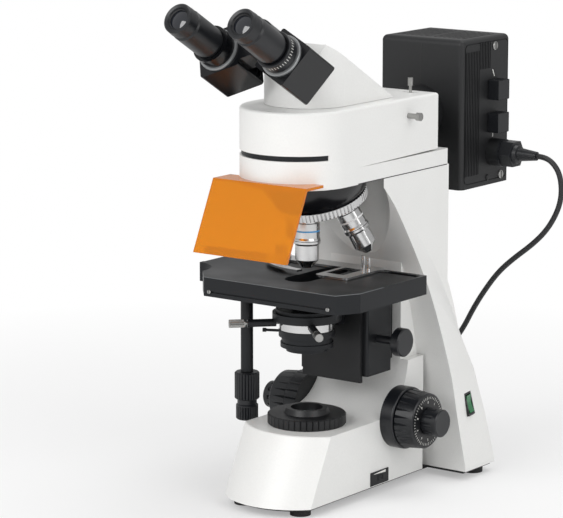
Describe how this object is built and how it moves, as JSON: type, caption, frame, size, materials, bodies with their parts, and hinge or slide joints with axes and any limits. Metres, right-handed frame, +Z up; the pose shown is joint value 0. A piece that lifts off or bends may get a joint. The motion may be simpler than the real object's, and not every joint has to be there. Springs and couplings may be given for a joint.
{
  "type": "compound microscope",
  "caption": "Upright compound microscope with sliding stage, turning nosepiece, top lamp house, clear shield and a hinged two-eyepiece head",
  "frame": {"origin": "on the bench under the middle of the whole instrument without its free lead", "axes": "+Z up, the user sits on the -Y side, +X is the user's right"},
  "size_m": [0.2775, 0.4297, 0.4394],
  "materials": {
    "stand_paint": "satin warm white enamel",
    "black_plastic": "fine matt",
    "black_enamel": "crackle",
    "dark_anodised": "satin dark grey anodised",
    "knob_grey": "satin",
    "chrome_plate": "polished",
    "steel": "brushed",
    "optic_glass": "clear, coated",
    "orange_acrylic": "clear orange",
    "foot_rubber": "matt",
    "lead_rubber": "smooth",
    "switch_green": "gloss"
  },
  "bodies": {
    "stand": {"base_casting": "stand_paint", "arm_column": "stand_paint", "arm_head": "stand_paint", "base_plate": "black_enamel", "rubber_feet": "foot_rubber", "collector_ring": "black_plastic", "field_lens": "optic_glass", "panel_inserts": "black_plastic", "focus_guide": "dark_anodised", "focus_collar": "knob_grey", "nosepiece_dome": "black_enamel", "illuminator_box": "stand_paint", "uv_shield": "orange_acrylic", "lamp_house_left": "black_enamel", "lamp_house_right": "black_enamel", "lamp_connector": "knob_grey", "lamp_lead": "lead_rubber", "lead_coil": "lead_rubber", "lead_plug": "knob_grey"},
    "rocker": {"power_rocker": "switch_green"},
    "brightness_dial": {"brightness_wheel": "knob_grey"},
    "tension": {"tension_ring": "knob_grey"},
    "coarse_focus": {"coarse_knob_right": "knob_grey", "coarse_knob_left": "knob_grey"},
    "fine_focus": {"fine_knob_right": "knob_grey", "fine_knob_left": "knob_grey"},
    "carriage": {"stage_carriage": "dark_anodised", "stage_support": "dark_anodised"},
    "stage": {"stage_plate": "dark_anodised", "drive_tube": "dark_anodised"},
    "y_drive": {"y_drive_knob": "knob_grey"},
    "x_drive": {"x_drive_knob": "knob_grey"},
    "holder": {"slide_rail": "dark_anodised", "slide_holder": "chrome_plate"},
    "finger": {"slide_finger": "chrome_plate"},
    "condenser": {"condenser_slide": "black_enamel", "condenser_fork": "dark_anodised", "condenser_body": "dark_anodised"},
    "iris": {"iris_ring": "dark_anodised"},
    "filter_tray": {"filter_holder": "dark_anodised"},
    "centring_right": {"centring_screw_right": "steel"},
    "centring_left": {"centring_screw_left": "steel"},
    "condenser_drive": {"condenser_knob": "knob_grey"},
    "nosepiece": {"turret": "black_enamel", "objective_4x": "chrome_plate", "objective_10x": "chrome_plate", "objective_40x": "chrome_plate", "objective_100x": "chrome_plate"},
    "filter_wheel": {"filter_turret": "dark_anodised"},
    "shutter": {"shutter_rod": "steel"},
    "aperture": {"aperture_lever": "steel"},
    "lamp_upper": {"lamp_knob_upper": "knob_grey"},
    "lamp_lower": {"lamp_knob_lower": "knob_grey"},
    "head": {"head_body": "stand_paint", "binocular_hinge": "black_enamel"},
    "eye_right": {"prism_housing_right": "stand_paint", "eyepiece_right": "black_enamel"},
    "eye_left": {"prism_housing_left": "stand_paint", "eyepiece_left": "black_enamel"},
    "diopter": {"diopter_ring": "knob_grey"}
  },
  "joints": [
    {"name": "rocker_tilt", "type": "hinge", "parent": "stand", "child": "rocker", "pos_m": [0.10412, 0.08751, 0.06539], "axis": [-0.2011, 0.9796, 0], "range_deg": [-8, 8]},
    {"name": "brightness_turn", "type": "hinge", "parent": "stand", "child": "brightness_dial", "pos_m": [0.0684, -0.0105, 0.015], "axis": [0, 0, 1], "range_deg": [-135, 135]},
    {"name": "tension_turn", "type": "hinge", "parent": "stand", "child": "tension", "pos_m": [0.0315, 0.0174, 0.0645], "axis": [1, 0, 0], "range_deg": [-60, 60]},
    {"name": "focus_travel", "type": "slide", "parent": "stand", "child": "carriage", "axis": [0, 0, 1], "range_m": [-0.015, 0.004]},
    {"name": "coarse_turn", "type": "hinge", "parent": "stand", "child": "coarse_focus", "pos_m": [0.0315, 0.0174, 0.0645], "axis": [1, 0, 0], "range_deg": [-144, 39]},
    {"name": "fine_turn", "type": "hinge", "parent": "stand", "child": "fine_focus", "pos_m": [0.0315, 0.0174, 0.0645], "axis": [1, 0, 0], "continuous": true},
    {"name": "stage_y_travel", "type": "slide", "parent": "carriage", "child": "stage", "axis": [0, 1, 0], "range_m": [-0.034, 0.012]},
    {"name": "y_drive_turn", "type": "hinge", "parent": "stage", "child": "y_drive", "pos_m": [-0.0315, -0.058, 0.091], "axis": [0, 0, 1], "range_deg": [-200, 80]},
    {"name": "stage_x_travel", "type": "slide", "parent": "stage", "child": "holder", "axis": [1, 0, 0], "range_m": [-0.04, 0.03]},
    {"name": "x_drive_turn", "type": "hinge", "parent": "stage", "child": "x_drive", "pos_m": [-0.0315, -0.058, 0.07], "axis": [0, 0, 1], "range_deg": [-240, 180]},
    {"name": "finger_swing", "type": "hinge", "parent": "holder", "child": "finger", "pos_m": [-0.0345, -0.003, 0.198], "axis": [0, 0, 1], "range_deg": [0, 20], "stiffness_Nm_per_rad": 0.1, "springref_deg": -11.46},
    {"name": "condenser_travel", "type": "slide", "parent": "carriage", "child": "condenser", "axis": [0, 0, 1], "range_m": [-0.016, 0]},
    {"name": "condenser_knob_turn", "type": "hinge", "parent": "carriage", "child": "condenser_drive", "pos_m": [0.0915, 0, 0.136], "axis": [1, 0, 0], "range_deg": [-184, 1]},
    {"name": "iris_turn", "type": "hinge", "parent": "condenser", "child": "iris", "pos_m": [0.0315, -0.055, 0.147], "axis": [0, 0, 1], "range_deg": [-30, 30]},
    {"name": "filter_swing", "type": "hinge", "parent": "condenser", "child": "filter_tray", "pos_m": [0.009, -0.046, 0.135], "axis": [0, 0, 1], "range_deg": [-90, 0]},
    {"name": "centring_right_turn", "type": "hinge", "parent": "condenser", "child": "centring_right", "pos_m": [0.0315, -0.055, 0.156], "axis": [0.7071, -0.7071, 0], "range_deg": [-180, 180]},
    {"name": "centring_left_turn", "type": "hinge", "parent": "condenser", "child": "centring_left", "pos_m": [0.0315, -0.055, 0.156], "axis": [-0.7071, -0.7071, 0], "range_deg": [-180, 180]},
    {"name": "turret_turn", "type": "hinge", "parent": "stand", "child": "nosepiece", "pos_m": [0.0315, -0.055, 0.318], "axis": [0, 0.342, -0.9397], "continuous": true},
    {"name": "filter_wheel_turn", "type": "hinge", "parent": "stand", "child": "filter_wheel", "pos_m": [0.0315, -0.068, 0.307], "axis": [0, 0, 1], "continuous": true},
    {"name": "shutter_pull", "type": "slide", "parent": "stand", "child": "shutter", "axis": [1, 0, 0], "range_m": [0, 0.0065]},
    {"name": "aperture_move", "type": "slide", "parent": "stand", "child": "aperture", "axis": [1, 0, 0], "range_m": [-0.006, 0.006]},
    {"name": "lamp_upper_turn", "type": "hinge", "parent": "stand", "child": "lamp_upper", "pos_m": [0.0815, 0.169, 0.3385], "axis": [1, 0, 0], "range_deg": [-90, 90]},
    {"name": "lamp_lower_turn", "type": "hinge", "parent": "stand", "child": "lamp_lower", "pos_m": [0.0815, 0.169, 0.3085], "axis": [1, 0, 0], "range_deg": [-90, 90]},
    {"name": "head_turn", "type": "hinge", "parent": "stand", "child": "head", "pos_m": [0.0315, -0.055, 0.3463], "axis": [0, 0, 1], "continuous": true},
    {"name": "eye_right_swing", "type": "hinge", "parent": "head", "child": "eye_right", "pos_m": [0.0315, -0.0825, 0.3835], "axis": [0, -0.866, 0.5], "range_deg": [-12, 12]},
    {"name": "eye_left_swing", "type": "hinge", "parent": "head", "child": "eye_left", "pos_m": [0.0315, -0.0825, 0.3835], "axis": [0, -0.866, 0.5], "range_deg": [-12, 12]},
    {"name": "diopter_turn", "type": "hinge", "parent": "eye_right", "child": "diopter", "pos_m": [0.06413, -0.14207, 0.40032], "axis": [0, -0.866, 0.5], "range_deg": [-90, 90]}
  ],
  "couplings": [
    {"joint": "coarse_turn", "follows": "focus_travel", "rad_per_m": 166.67},
    {"joint": "y_drive_turn", "follows": "stage_y_travel", "rad_per_m": 100},
    {"joint": "x_drive_turn", "follows": "stage_x_travel", "rad_per_m": 100},
    {"joint": "condenser_knob_turn", "follows": "condenser_travel", "rad_per_m": 200},
    {"joint": "eye_left_swing", "follows": "eye_right_swing", "ratio": -1}
  ]
}
